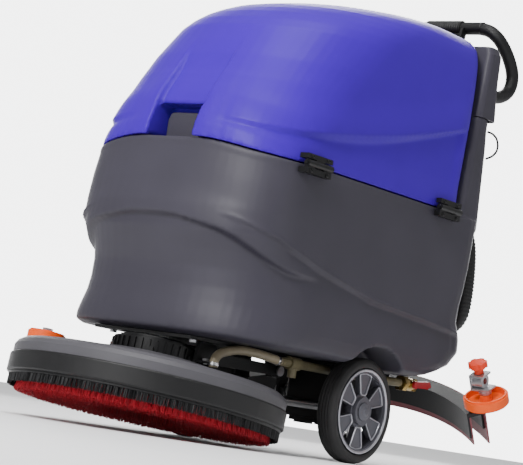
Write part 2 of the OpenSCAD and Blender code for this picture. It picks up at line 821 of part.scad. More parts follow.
module hinge_bases() {
    color(black) for (y = hinge_ys) difference() {
        union() {
            hinge_block(y, hinge_z - 19, hinge_z - 8.5);
            for (s = [-1, 1]) {
                y_cylinder(knuckle_r, y + s * 27 - 13, y + s * 27 + 13, hinge_x, hinge_z);
                box([hinge_x - 5, y + s * 27 - 13, hinge_z - 12], [hinge_x + 2, y + s * 27 + 13, hinge_z]);
            }
        }
        y_cylinder(hinge_pin_r + run_gap, y - 60, y + 60, hinge_x, hinge_z);
    }
}

module hinge_leaves() {
    color(black) for (y = hinge_ys) {
        hinge_block(y, hinge_z + 8.5, hinge_z + 18);
        y_cylinder(knuckle_r, y - 13.5, y + 13.5, hinge_x, hinge_z);
        box([hinge_x - 5, y - 13.5, hinge_z], [hinge_x + 2, y + 13.5, hinge_z + 12]);
        y_cylinder(hinge_pin_r, y - 43, y + 43, hinge_x, hinge_z);
    }
}

// ---------- console and handle ----------

console_levels = [[column_z1, 459], [782, 458], [800, 455], [850, 450], [905, 449], [console_z1, 444]];

function console_stack(skin, z0, z1) = [for (s = console_levels)
    [min(max(s[0], z0), z1), slab_plan(console_half - (s[0] > 910 ? 6 : 0) - skin,
        back_y(s[0]) + 4 + skin, s[1] - skin, 14 - skin, 24 - skin)]];

key_xy = [-95, 424];
brush_xy = [-45, 424];
vacuum_xy = [5, 424];
stop_xy = [85, 424];
panel_t = 4;

module console_holes() {
    translate([key_xy[0], key_xy[1], 890]) cylinder(r = 9 + run_gap, h = 50);
    translate([brush_xy[0], brush_xy[1], 890]) cylinder(r = 8 + run_gap, h = 50);
    translate([vacuum_xy[0], vacuum_xy[1], 890]) cylinder(r = 8 + run_gap, h = 50);
    translate([stop_xy[0], stop_xy[1], 890]) cylinder(r = 12 + run_gap, h = 50);
}

module console_housing() {
    color(grey) {
        difference() {
            loft(console_stack(0, 0, 999));
            difference() {
                loft(console_stack(wall, column_z1 - 5, console_z1 - wall));
                for (x = [-100, 0, 100]) box([x - 5, 380, 780], [x + 5, 460, 820]);
            }
            box([-console_half + 8, back_y(column_z1) + 12, column_z1 - 10],
                [console_half - 8, 455, column_z1 + 8]);
            for (s = [-1, 1]) box([s * lever_x - 8, 440, 772], [s * lever_x + 8, 490, 846]);
            console_holes();
            for (s = [-1, 1]) y_cylinder(tube_r + run_gap, 430, 480, 216 * s, 826);
        }
        x_cylinder(5, -105, 105, lever_pivot[0], lever_pivot[1]);
    }
}

module control_panel() {
    color(black) difference() {
        union() {
            translate([0, 0, console_z1]) linear_extrude(panel_t)
                polygon(slab_plan(150, 402, 446, 8, 8));
            box([118, 408, console_z1], [144, 440, console_z1 + panel_t + 2]);
        }
        console_holes();
    }
}

handle_half = [[216, 436, 826], [216, 452, 826], [216, 472, 826], [216, 492, 831], [216, 512, 841], [216, 526, 856],
    [216, 531, 876], [215, 526, 897], [211, 513, 920], [204, 498, 942], [193, 486, 960], [176, 479, 973],
    [154, 478, 979], [132, 478, handle_z]];
handle_path = concat(handle_half, [for (i = [len(handle_half) - 1:-1:0])
    [-handle_half[i][0], handle_half[i][1], handle_half[i][2]]]);

module handle_tube() {
    color(black) {
        sweep(handle_path, tube_r, 16, [0, -1, 0.35]);
        both_sides() difference() {
            box([112, 456, 954], [118, 470, 978]);
            x_cylinder(3 + run_gap, 100, 130, 462, 960);
        }
    }
}

module handle_grips() {
    color(black) both_sides() difference() {
        x_cylinder(tube_r + 3.5, 14, 104, 478, handle_z);
        x_cylinder(tube_r + run_gap, 0, 120, 478, handle_z);
    }
}

module start_bail() {
    color(black) {
        x_cylinder(3, -120, 120, 462, 960);
        x_cylinder(6, -110, 110, 462, 960);
        side_plate(-108, 108, [[460, 956], [462, 954], [500, 949], [512, 953], [512, 957],
            [500, 955], [464, 961]]);
    }
}

module key_switch() {
    color(zinc) {
        translate([key_xy[0], key_xy[1], 905]) cylinder(r = 9, h = 26);
        box([key_xy[0] - 1.5, key_xy[1] - 11, 929], [key_xy[0] + 1.5, key_xy[1] + 11, 950]);
    }
}

module push_button(p, r) {
    translate([p[0], p[1], 905]) cylinder(r = r, h = 24);
}

module brush_button() {
    color([0.2, 0.6, 0.25]) push_button(brush_xy, 8);
}

module vacuum_button() {
    color([0.2, 0.35, 0.8]) push_button(vacuum_xy, 8);
}

module emergency_stop() {
    color(red) {
        push_button(stop_xy, 12);
        translate([stop_xy[0], stop_xy[1], 0]) rotate_extrude($fn = 48)
            polygon([[0, 929], [18, 929], [20, 932], [20, 938], [16, 942], [0, 943]]);
    }
}

// Hand lever about the pivot rod inside the console, standing out of its slot
module hand_lever() {
    difference() {
        union() {
            x_cylinder(12, -6, 6, lever_pivot[0], lever_pivot[1]);
            side_plate(-5, 5, [[424, 793], [424, 807], [502, 826], [505, 815]]);
        }
        x_cylinder(5 + run_gap, -20, 20, lever_pivot[0], lever_pivot[1]);
    }
    translate([0, 507, 822]) rotate([-76, 0, 0]) rotate_extrude($fn = 32)
        polygon([[0, -6], [8, -6], [13, 4], [13, 14], [8, 20], [0, 21]]);
}

module squeegee_lever() {
    color(orange) translate([lever_x, 0, 0]) hand_lever();
}

module deck_lever() {
    color(orange) translate([-lever_x, 0, 0]) hand_lever();
}

wire_route = [[225, 446.5, 744], [231, 457, 742], [236, 468, 734], [238, 474, 720], [237, 473, 706],
    [233, 464, 694], [227, 451.5, 686]];

module console_wire() {
    color(black) sweep(route(wire_route, 4), 2.5, 8, [1, 0, 0.3]);
}

chassis_frame();
frame_bolts();
pivot_pins();
main_axle();
left_rim();
left_tyre();
right_rim();
right_tyre();
caster_mount();
caster_fork();
caster_wheel();
solution_tank();
fill_cap();
battery_cases();
battery_plates();
solution_pump();
solution_pipe();
solution_hose();
drain_valve();
drain_lever();
deck_arms();
deck_cover();
bumper_ring();
splash_skirt();
brush_motor();
gearbox();
deck_bolts();
wall_roller();
drive_hub();
brush_block();
brush_bristles();
squeegee_arm();
squeegee_body();
front_blade();
rear_blade();
blade_straps();
knob_brackets();
left_roller();
right_roller();
left_knob();
right_knob();
suction_hose();
hinge_bases();
hinge_leaves();
recovery_tank();
tank_lid();
vacuum_motor();
float_ball();
console_housing();
control_panel();
handle_tube();
handle_grips();
start_bail();
key_switch();
brush_button();
vacuum_button();
emergency_stop();
squeegee_lever();
deck_lever();
console_wire();
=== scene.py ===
import json
import math
import random
import bmesh
import bpy
import numpy as np
from mathutils import Matrix, Vector

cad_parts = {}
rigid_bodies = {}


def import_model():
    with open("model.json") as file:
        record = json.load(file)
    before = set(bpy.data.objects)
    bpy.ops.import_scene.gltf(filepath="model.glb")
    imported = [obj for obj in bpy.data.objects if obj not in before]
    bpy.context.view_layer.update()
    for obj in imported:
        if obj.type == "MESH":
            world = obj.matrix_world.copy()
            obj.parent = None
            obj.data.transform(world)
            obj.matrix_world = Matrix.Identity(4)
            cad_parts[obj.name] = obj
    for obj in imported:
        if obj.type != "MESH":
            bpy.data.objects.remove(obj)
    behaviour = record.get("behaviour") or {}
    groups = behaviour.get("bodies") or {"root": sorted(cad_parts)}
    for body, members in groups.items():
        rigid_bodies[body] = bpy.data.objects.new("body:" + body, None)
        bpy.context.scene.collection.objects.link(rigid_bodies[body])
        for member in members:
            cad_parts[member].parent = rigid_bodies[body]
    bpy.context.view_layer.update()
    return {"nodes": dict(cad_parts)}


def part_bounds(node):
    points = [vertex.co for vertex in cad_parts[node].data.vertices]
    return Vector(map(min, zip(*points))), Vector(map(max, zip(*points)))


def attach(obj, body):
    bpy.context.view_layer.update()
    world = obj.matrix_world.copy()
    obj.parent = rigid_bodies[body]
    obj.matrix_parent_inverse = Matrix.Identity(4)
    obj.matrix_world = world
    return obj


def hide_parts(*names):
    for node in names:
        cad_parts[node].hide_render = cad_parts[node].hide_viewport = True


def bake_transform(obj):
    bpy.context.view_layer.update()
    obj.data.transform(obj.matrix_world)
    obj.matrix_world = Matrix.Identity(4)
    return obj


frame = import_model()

MM = 0.001
rng = random.Random(7)


# ---------- camera and light ----------

def add_camera():
    """Low camera at the front left, looking up a little and rolled."""
    place = (2.4788, -3.2150, 0.0590)
    yaw, pitch, roll = 0.914418, 0.0921609, 0.153133
    back = Vector((math.cos(yaw) * math.cos(pitch), -math.sin(yaw) * math.cos(pitch), -math.sin(pitch)))
    right = Vector((math.sin(yaw), math.cos(yaw), 0.0))
    up = right.cross(-back)
    right, up = (right * math.cos(roll) + up * math.sin(roll), up * math.cos(roll) - right * math.sin(roll))
    data = bpy.data.cameras.new("camera")
    data.sensor_width = 36.0
    data.lens = 137.96
    cam = bpy.data.objects.new("camera", data)
    cam.matrix_world = Matrix.Translation(place) @ Matrix((right, up, back)).transposed().to_4x4()
    bpy.context.scene.collection.objects.link(cam)
    bpy.context.scene.camera = cam


def add_softbox(name, place, target, size, power):
    """Rectangular area light at place, turned towards target."""
    data = bpy.data.lights.new(name, "AREA")
    data.shape = "RECTANGLE"
    data.size, data.size_y = size
    data.energy = power
    obj = bpy.data.objects.new(name, data)
    obj.location = place
    obj.rotation_euler = (Vector(target) - Vector(place)).to_track_quat("-Z", "Y").to_euler()
    bpy.context.scene.collection.objects.link(obj)


def add_light():
    """Soft key light from the front, weaker fills, and a bright wall behind the machine."""
    middle = (0.0, 0.0, 0.5)
    add_softbox("key", (0.7, -3.5, 3.0), middle, (1.3, 1.1), 215)
    add_softbox("top", (0.2, -0.5, 3.4), middle, (1.6, 1.6), 60)
    add_softbox("side", (3.6, 0.6, 1.0), middle, (1.2, 1.6), 7)
    add_softbox("back", (-1.5, 3.4, 2.2), middle, (2.2, 1.6), 70)
    add_softbox("low", (0.1, -3.7, 0.45), (0.0, -0.2, 0.25), (1.8, 0.5), 16)
    world = bpy.data.worlds.new("studio")
    bpy.context.scene.world = world
    world.use_nodes = True
    tree = world.node_tree
    sky = tree.nodes["Background"]
    sky.inputs["Color"].default_value = (0.97, 0.975, 0.98, 1)
    # The studio's lit wall stands behind the machine, and the rest of the room is dimmer
    place = tree.nodes.new("ShaderNodeTexCoord")
    facing = tree.nodes.new("ShaderNodeVectorMath")
    facing.operation = "DOT_PRODUCT"
    facing.inputs[1].default_value = (-0.608, 0.789, 0.092)
    wall = tree.nodes.new("ShaderNodeMapRange")
    wall.interpolation_type = "SMOOTHSTEP"
    for name, value in (("From Min", 0.86), ("From Max", 0.97), ("To Min", 0.50), ("To Max", 5.5)):
        wall.inputs[name].default_value = value
    tree.links.new(place.outputs["Generated"], facing.inputs[0])
    tree.links.new(facing.outputs["Value"], wall.inputs["Value"])
    tree.links.new(wall.outputs["Result"], sky.inputs["Strength"])


# ---------- materials ----------

def shade(name, color, rough, speck=0.08, speck_size=60.0, bump=0.05, bump_size=900.0, metal=0.0,
          coat=0.0, through=0.0, gloss=0.4):
    """Procedural surface: base colour varied by slow noise, roughness by finer noise, and a grain."""
    mat = bpy.data.materials.new(name)
    mat.use_nodes = True
    tree = mat.node_tree
    bsdf = tree.nodes["Principled BSDF"]
    bsdf.inputs["Metallic"].default_value = metal
    bsdf.inputs["Specular IOR Level"].default_value = gloss
    bsdf.inputs["Coat Weight"].default_value = coat
    bsdf.inputs["Coat Roughness"].default_value = 0.2
    bsdf.inputs["Transmission Weight"].default_value = through
    place = tree.nodes.new("ShaderNodeTexCoord")

    def noise(scale, detail):
        tex = tree.nodes.new("ShaderNodeTexNoise")
        tex.inputs["Scale"].default_value = scale
        tex.inputs["Detail"].default_value = detail
        tree.links.new(place.outputs["Object"], tex.inputs["Vector"])
        return tex.outputs["Fac"]

    ramp = tree.nodes.new("ShaderNodeValToRGB")
    ramp.color_ramp.elements[0].position = 0.3
    ramp.color_ramp.elements[1].position = 0.7
    ramp.color_ramp.elements[0].color = [c * (1 - speck) for c in color] + [1]
    ramp.color_ramp.elements[1].color = [min(1, c * (1 + speck)) for c in color] + [1]
    tree.links.new(noise(speck_size, 4), ramp.inputs["Fac"])
    tree.links.new(ramp.outputs["Color"], bsdf.inputs["Base Color"])
    spread = tree.nodes.new("ShaderNodeMapRange")
    spread.inputs["To Min"].default_value = rough - 0.06
    spread.inputs["To Max"].default_value = rough + 0.06
    tree.links.new(noise(14.0, 3), spread.inputs["Value"])
    tree.links.new(spread.outputs["Result"], bsdf.inputs["Roughness"])
    grain = tree.nodes.new("ShaderNodeBump")
    grain.inputs["Strength"].default_value = bump
    grain.inputs["Distance"].default_value = 0.001
    tree.links.new(noise(bump_size, 2), grain.inputs["Height"])
    tree.links.new(grain.outputs["Normal"], bsdf.inputs["Normal"])
    return mat


M = {
    "blue": shade("moulded_blue", (0.046, 0.0035, 0.36), 0.40, 0.05, 6.0, 0.10, 700.0, gloss=0.12),
    "grey": shade("moulded_grey", (0.037, 0.034, 0.047), 0.48, 0.07, 8.0, 0.22, 900.0, gloss=0.3),
    "deck_grey": shade("deck_grey", (0.060, 0.058, 0.066), 0.46, 0.08, 12.0, 0.25, 900.0),
    "black": shade("black_plastic", (0.0035, 0.0035, 0.004), 0.36, 0.15, 30.0, 0.15, gloss=0.3),
    "powder": shade("powder_coat", (0.0045, 0.0045, 0.005), 0.42, 0.2, 120.0, 0.4, 1400.0, gloss=0.3),
    "rubber": shade("black_rubber", (0.005, 0.005, 0.0055), 0.45, 0.15, 40.0, 0.3, gloss=0.35),
    "tyre": shade("tyre_rubber", (0.018, 0.0175, 0.018), 0.60, 0.2, 30.0, 0.5, 600.0, gloss=0.35),
    "silver": shade("silver_paint", (0.10, 0.10, 0.118), 0.40, 0.08, 80.0, 0.2, 1200.0, metal=0.4),
    "zinc": shade("zinc_plate", (0.56, 0.56, 0.58), 0.34, 0.15, 90.0, 0.25, 500.0, metal=0.9),
    "steel": shade("brushed_steel", (0.62, 0.62, 0.63), 0.26, 0.1, 150.0, 0.2, 900.0, metal=1.0),
    "bright": shade("bright_edge", (0.42, 0.42, 0.46), 0.32, 0.1, 90.0, 0.2, 900.0, metal=0.7),
    "chrome": shade("chrome", (0.78, 0.78, 0.79), 0.14, 0.05, 60.0, 0.05, 900.0, metal=1.0),
    "cast": shade("cast_alloy", (0.42, 0.42, 0.44), 0.5, 0.15, 80.0, 0.7, 500.0, metal=0.85),
    "brass": shade("brass", (0.6, 0.42, 0.14), 0.28, 0.15, 70.0, 0.2, 600.0, metal=1.0),
    "orange": shade("orange_plastic", (0.80, 0.088, 0.004), 0.40, 0.06, 30.0, 0.1, gloss=0.25),
    "knob": shade("red_orange_plastic", (0.66, 0.040, 0.010), 0.40, 0.06, 30.0, 0.1, gloss=0.25),
    "red": shade("red_plastic", (0.5, 0.012, 0.02), 0.35, 0.08, 30.0, 0.1, coat=0.3),
    "bristle": shade("red_bristle", (0.42, 0.010, 0.022), 0.5, 0.3, 90.0, 0.2, 1500.0),
    "strip": shade("black_bristle", (0.004, 0.004, 0.005), 0.5, 0.3, 90.0, 0.2, 1500.0),
    "gum": shade("gum_blade", (0.20, 0.045, 0.055), 0.42, 0.12, 25.0, 0.15, 700.0, coat=0.1, through=0.25),
    "beige": shade("beige_hose", (0.25, 0.21, 0.14), 0.4, 0.12, 40.0, 0.15, 500.0),
    "olive": shade("olive_pipe", (0.14, 0.12, 0.065), 0.42, 0.2, 50.0, 0.2, 500.0),
    "green": shade("green_button", (0.03, 0.3, 0.06), 0.3, 0.08, 60.0, 0.08, coat=0.4),
    "button_blue": shade("blue_button", (0.03, 0.1, 0.55), 0.3, 0.08, 60.0, 0.08, coat=0.4),
    "floor": shade("studio_floor", (0.86, 0.86, 0.87), 0.7, 0.015, 1.5, 0.03, 40.0),
}

CAD_LOOKS = {
    "powder": ["chassis_frame", "deck_arms", "squeegee_arm", "handle_tube"],
    "zinc": ["frame_bolts", "pivot_pins", "caster_mount", "caster_fork", "deck_bolts", "knob_brackets"],
    "steel": ["main_axle", "blade_straps"],
    "silver": ["left_rim", "right_rim"],
    "tyre": ["left_tyre", "right_tyre"],
    "rubber": ["caster_wheel", "bumper_ring", "console_wire", "suction_hose", "handle_grips"],
    "grey": ["solution_tank", "console_housing"],
    "deck_grey": ["deck_cover", "drive_hub"],
    "black": ["fill_cap", "battery_cases", "solution_pump", "brush_block", "hinge_bases", "hinge_leaves",
              "vacuum_motor", "control_panel", "start_bail", "brush_motor", "splash_skirt", "squeegee_body"],
    "cast": ["battery_plates", "gearbox"],
    "brass": ["drain_valve"],
    "red": ["drain_lever", "emergency_stop"],
    "bristle": ["brush_bristles"],
    "gum": ["front_blade", "rear_blade"],
    "orange": ["wall_roller", "left_roller", "right_roller", "float_ball", "squeegee_lever", "deck_lever"],
    "knob": ["left_knob", "right_knob"],
    "blue": ["recovery_tank", "tank_lid"],
    "beige": ["solution_hose"],
    "olive": ["solution_pipe"],
    "chrome": ["key_switch"],
    "green": ["brush_button"],
    "button_blue": ["vacuum_button"],
}
NOT_BEVELLED = {"suction_hose", "solution_hose", "solution_pipe", "console_wire", "brush_bristles",
                "front_blade", "rear_blade", "blade_straps", "splash_skirt", "handle_tube"}


def dress_cad():
    """Gives every CAD node its material, smooth faces and a small rounding of its moulded edges."""
    for look, names in CAD_LOOKS.items():
        for name in names:
            obj = frame["nodes"][name]
            for part in [obj] + list(obj.children_recursive):
                if part.type != "MESH":
                    continue
                if not part.material_slots:
                    part.data.materials.append(M[look])
                for item in part.material_slots:
                    item.material = M[look]
                if name not in NOT_BEVELLED:
                    round_edges(part, 1.2 * MM)
                part.modifiers.new("smooth", "WEIGHTED_NORMAL").keep_sharp = True


def round_edges(obj, width):
    """Small bevel on every sharp edge."""
    bevel = obj.modifiers.new("edges", "BEVEL")
    bevel.width = width
    bevel.segments = 2
    bevel.limit_method = "ANGLE"
    bevel.angle_limit = math.radians(35)
    bevel.use_clamp_overlap = True
    bevel.harden_normals = False


# ---------- mesh helpers ----------

def piece(name, verts, faces, look, body=None, smooth=True):
    """New object from verts and faces, riding a body if one is given."""
    mesh = bpy.data.meshes.new(name)
    mesh.from_pydata([tuple(v) for v in verts], [], faces)
    mesh.validate()
    mesh.update()
    mesh.polygons.foreach_set("use_smooth", [smooth] * len(mesh.polygons))
    mesh.materials.append(M[look])
    obj = bpy.data.objects.new(name, mesh)
    bpy.context.scene.collection.objects.link(obj)
    if body:
        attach(obj, body)
    return obj


def lathe(profile, steps=96, wave=None):
    """Verts and faces of a profile of (radius, height) turned about Z; wave(angle) scales the radius."""
    verts, faces = [], []
    n = len(profile)
    for i in range(steps):
        a = 2 * math.pi * i / steps
        k = wave(a) if wave else 1.0
        verts += [Vector((r * k * math.cos(a), r * k * math.sin(a), z)) for r, z in profile]
    for i in range(steps):
        j = (i + 1) % steps
        faces += [(i * n + k, j * n + k, j * n + (k + 1) % n, i * n + (k + 1) % n) for k in range(n)]
    return verts, faces


def rounded(profile, radius, steps=4):
    """Closed profile with each corner rounded."""
    out = []
    n = len(profile)
    for i in range(n):
        a, b, c = Vector(profile[i - 1]), Vector(profile[i]), Vector(profile[(i + 1) % n])
        u, v = (a - b), (c - b)
        d = min(radius, 0.45 * u.length, 0.45 * v.length)
        p, q = b + u.normalized() * d, b + v.normalized() * d
        for s in range(steps + 1):
            t = s / steps
            out.append(tuple((1 - t) ** 2 * p + 2 * t * (1 - t) * b + t * t * q))
    return out


def curve_points(route, steps):
    """Smooth curve through the route, with steps points between each two."""
    p = [Vector(q) * MM for q in route]
    out = []
    for i in range(len(p) - 1):
        a, b, c, d = p[max(i - 1, 0)], p[i], p[i + 1], p[min(i + 2, len(p) - 1)]
        for s in range(steps):
            t = s / steps
            out.append(0.5 * (2 * b + (c - a) * t + (2 * a - 5 * b + 4 * c - d) * t * t
                              + (3 * b - a - 3 * c + d) * t ** 3))
    return out + [p[-1]]


def even(points, gap):
    """The same curve with points about a gap apart."""
    lengths = [0.0]
    for a, b in zip(points, points[1:]):
        lengths.append(lengths[-1] + (b - a).length)
    count = max(2, round(lengths[-1] / gap))
    out, k = [], 0
    for i in range(count + 1):
        want = lengths[-1] * i / count
        while k < len(points) - 2 and lengths[k + 1] < want:
            k += 1
        t = (want - lengths[k]) / max(1e-9, lengths[k + 1] - lengths[k])
        out.append(points[k].lerp(points[k + 1], min(1.0, t)))
    return out, lengths[-1]


def tube(points, radius, sides=20):
    """Closed tube along points; radius is a function of the point's number."""
    verts, faces = [], []
    side = None
    for i, p in enumerate(points):
        t = (points[min(i + 1, len(points) - 1)] - points[max(i - 1, 0)]).normalized()
        if side is None:
            side = t.orthogonal().normalized()
        side = (side - t * side.dot(t)).normalized()
        other = t.cross(side)
        r = radius(i)
        verts += [p + r * (math.cos(a) * side + math.sin(a) * other)
                  for a in (2 * math.pi * k / sides for k in range(sides))]
    for i in range(len(points) - 1):
        a = i * sides
        faces += [(a + k, a + (k + 1) % sides, a + sides + (k + 1) % sides, a + sides + k)
                  for k in range(sides)]
    faces.append(tuple(reversed(range(sides))))
    faces.append(tuple(range((len(points) - 1) * sides, len(points) * sides)))
    return verts, faces


# ---------- hoses and wire ----------

SUCTION = [(0, 495.2, 247), (0, 495.5, 262), (16, 502, 283), (60, 510, 296), (110, 512, 308),
           (158, 508, 322), (186, 501, 348), (193, 497, 400), (190, 496, 460), (184, 494, 500),
           (172, 492, 530), (158, 487, 550), (148, 477, 558), (148, 463.8, 558)]
SOLUTION = [(140, -57.5, 178), (140, -85, 180), (134, -130, 184), (129, -175, 184), (128, -213, 177),
            (129, -237, 169), (130, -249, 157), (130, -250, 143)]
WIRE = [(225, 446.5, 744), (231, 457, 742), (236, 468, 734), (238, 474, 720), (237, 473, 706),
        (233, 464, 694), (227, 451.5, 686)]


def add_suction_hose():
    """Corrugated hose from the rear column to the squeegee's spout."""
    ribs = 3
    path, length = even(curve_points(SUCTION, 12), 7.5 * MM / ribs)
    swell = (0.0, 1.6 * MM, 1.6 * MM)
    verts, faces = tube(path, lambda i: 18.2 * MM + swell[i % ribs], 28)
    hose = piece("corrugated_suction_hose", verts, faces, "rubber")
    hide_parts("suction_hose")
    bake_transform(hose)


def add_solution_hose():
    """Beige hose from the pipe under the tank to the brush deck."""
    path, length = even(curve_points(SOLUTION, 12), 5 * MM)
    verts, faces = tube(path, lambda i: 9 * MM if 2 < i < len(path) - 3 else 8.8 * MM, 24)
    hose = piece("beige_solution_hose", verts, faces, "beige")
    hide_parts("solution_hose")
    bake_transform(hose)


def add_console_wire():
    """Short lead that loops out of the console."""
    path, length = even(curve_points(WIRE, 12), 3 * MM)
    verts, faces = tube(path, lambda i: 2.5 * MM - (0.25 * MM if i % 2 else 0), 12)
    wire = piece("console_lead", verts, faces, "rubber", "machine")
    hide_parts("console_wire")


# ---------- moulded tanks ----------

def smoothstep(t):
    """Eases from 0 to 1 as t goes from 0 to 1."""
    t = np.clip(t, 0.0, 1.0)
    return t * t * (3 - 2 * t)


def remeshed(name, node, plugs, voxel):
    """The CAD node as one even skin, with its inside closed off by plugs, ready for styling."""
    source = frame["nodes"][node]
    joined = bmesh.new()
    for part in [source] + list(source.children_recursive):
        if part.type == "MESH":
            joined.from_mesh(part.data)
    for verts, faces in plugs:
        made = [joined.verts.new(v) for v in verts]
        for face in faces:
            joined.faces.new([made[i] for i in face])
    bmesh.ops.remove_doubles(joined, verts=joined.verts, dist=1e-6)
    bmesh.ops.recalc_face_normals(joined, faces=joined.faces)
    mesh = bpy.data.meshes.new(name + "_raw")
    joined.to_mesh(mesh)
    joined.free()
    raw = bpy.data.objects.new(name + "_raw", mesh)
    bpy.context.scene.collection.objects.link(raw)
    mod = raw.modifiers.new("remesh", "REMESH")
    mod.mode = "VOXEL"
    mod.voxel_size = voxel
    mod.use_smooth_shade = True
    done = bpy.data.meshes.new_from_object(raw.evaluated_get(bpy.context.evaluated_depsgraph_get()))
    bpy.data.objects.remove(raw)
    return done


def relax(mesh, rounds, forward=0.5, back=-0.52):
    """Taubin smoothing: takes out the steps of the remesh without shrinking the form."""
    count = len(mesh.vertices)
    co = np.empty(count * 3)
    mesh.vertices.foreach_get("co", co)
    co = co.reshape(-1, 3)
    ends = np.empty(len(mesh.edges) * 2, dtype=np.int64)
    mesh.edges.foreach_get("vertices", ends)
    a, b = ends[0::2], ends[1::2]
    degree = np.bincount(np.concatenate((a, b)), minlength=count)[:, None]
    for k in range(2 * rounds):
        total = np.stack([np.bincount(a, co[b, i], count) + np.bincount(b, co[a, i], count)
                          for i in range(3)], axis=1)
        co = co + (forward if k % 2 == 0 else back) * (total / degree - co)
    return co


def skin_normals(mesh, co):
    """Moves the mesh to co and gives its vertex normals."""
    mesh.vertices.foreach_set("co", co.ravel())
    mesh.update()
    out = np.empty(len(co) * 3)
    mesh.vertices.foreach_get("normal", out)
    return out.reshape(-1, 3)


def shell(name, node, look, plugs, style, body):
    """A tank's skin, remade from its CAD node and shaped by style."""
    voxel, rounds = 4.0 * MM, 12
    mesh = remeshed(name, node, plugs, voxel)
    co = relax(mesh, rounds)
    normal = skin_normals(mesh, co)
    co = style(co, normal)
    mesh.vertices.foreach_set("co", co.ravel())
    mesh.materials.clear()
    mesh.materials.append(M[look])
    mesh.polygons.foreach_set("use_smooth", [True] * len(mesh.polygons))
    mesh.update()
    obj = bpy.data.objects.new(name, mesh)
    bpy.context.scene.collection.objects.link(obj)
    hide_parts(node)
    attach(obj, body)
    return obj


def seam_rise(co):
    """The joint between the tanks curves up over the middle of the nose."""
    x, y, z = co.T
    rise = 22 * MM
    side = smoothstep((0.26 - np.abs(x)) / 0.20) * smoothstep((-0.15 - y) / 0.13)
    level = smoothstep((z - 0.44) / 0.09) * smoothstep((0.72 - z) / 0.10)
    return rise * side * level


def outward(normal):
    """The normals laid level, each one unit long."""
    flat = normal.copy()
    flat[:, 2] = 0
    return flat / np.maximum(1e-6, np.linalg.norm(flat, axis=1))[:, None]


def style_hood(co, normal):
    """Side step that rises to the rear, and a shallow bay over the hand grip."""
    x, y, z = co.T
    nose_y, tank_length, nose_crease = -0.376, 0.759, 0.586
    step_out, step_in, cheek_out, bay_in = 4 * MM, 7.5 * MM, 4 * MM, 10 * MM
    t = np.clip((y - nose_y) / tank_length, 0, 1)
    crease = nose_crease + 0.06 * t + 0.094 * t * t
    width = 0.006 + 0.010 * np.sin(np.pi * np.clip((t - 0.1) / 0.75, 0, 1)) ** 2
    out = outward(normal)
    skin = smoothstep((out[:, 0] * np.sign(x) * smoothstep((np.abs(x) - 0.08) / 0.08)
                       - out[:, 1] * smoothstep((-0.12 - y) / 0.08) - 0.2) / 0.3)
    skin = skin * smoothstep((np.abs(x) - 0.085) / 0.05) * (1 - smoothstep((y - 0.30) / 0.06))
    strength = smoothstep((t - 0.02) / 0.15)
    below = smoothstep((crease - z) / width) * smoothstep((z - 0.549) / 0.07)
    above = smoothstep((z - crease) / 0.005) * smoothstep((crease + 0.075 - z) / 0.06)
    move = skin * strength * (step_out * above - step_in * below)
    bay = smoothstep((0.062 - np.abs(x)) / 0.007) * smoothstep((z - 0.604) / 0.012)
    bay = bay * smoothstep((0.79 - z) / 0.09) * smoothstep((-y - 0.20) / 0.03)
    cheek = smoothstep((np.abs(x) - 0.052) / 0.008) * smoothstep((0.12 - np.abs(x)) / 0.055)
    cheek = cheek * smoothstep((0.76 - z) / 0.10) * smoothstep((-y - 0.20) / 0.03)
    move = move + smoothstep((-out[:, 1] - 0.3) / 0.3) * (cheek_out * cheek - bay_in * bay)
    co = co + out * move[:, None]
    co[:, 2] += seam_rise(co)
    return co


def style_base(co, normal):
    """Brow over the nose, a scoop under it and a long ridge along each side."""
    x, y, z = co.T
    wheel_y, wheel_z, arch_r = 0.12, 0.106, 0.139
    lip_out, scoop_in, crest_out, under_in, rim_out = 5 * MM, 8 * MM, 3.4 * MM, 5.8 * MM, 1.2 * MM
    out = outward(normal)
    side_in = (np.abs(x) > 0.19) & (y < 0.43)
    sideways = out[:, 0] * np.sign(x)
    face = np.where(y < -0.16, sideways * smoothstep((np.abs(x) - 0.1) / 0.05) - out[:, 1], 0.0)
    skin = smoothstep((np.where(side_in, sideways, face) - 0.25) / 0.3)
    arch = np.hypot(y - wheel_y, z - wheel_z)
    skin = skin * np.where(np.abs(x) > 0.16, smoothstep((arch - arch_r) / 0.03), 1.0)
    back = np.clip((-0.17 - y) / 0.18, 0, 1)
    brow = 0.338 + 0.075 * back ** 2 + 0.008 * smoothstep((0.13 - np.abs(x)) / 0.1)
    keep = smoothstep((-0.10 - y) / 0.12)
    lip = smoothstep((z - brow + 0.002) / 0.004) * smoothstep((brow + 0.07 - z) / 0.06)
    scoop = smoothstep((brow - z) / 0.006) * smoothstep((z - 0.215) / 0.13)
    move = keep * (lip_out * lip - scoop_in * scoop)
    ridge = np.interp(y, (-0.36, -0.29, -0.22, -0.12, 0.065, 0.26, 0.41),
                      (0.44, 0.408, 0.384, 0.358, 0.325, 0.312, 0.300))
    along = (1 - smoothstep((y - 0.38) / 0.05)) * smoothstep((y + 0.38) / 0.10)
    along = along * smoothstep((np.abs(x) - 0.14) / 0.07)
    crest = np.exp(-((z - ridge) / 0.004) ** 2)
    under = smoothstep((ridge - z) / 0.006) * smoothstep((z - ridge + 0.10) / 0.09)
    move = move + along * (crest_out * crest - under_in * under)
    lip_top = np.exp(-((z - 0.538) / 0.006) ** 2) * (y < 0.34)
    move = move + rim_out * lip_top
    co = co + out * (skin * move)[:, None]
    co[:, 2] += seam_rise(co)
    return co


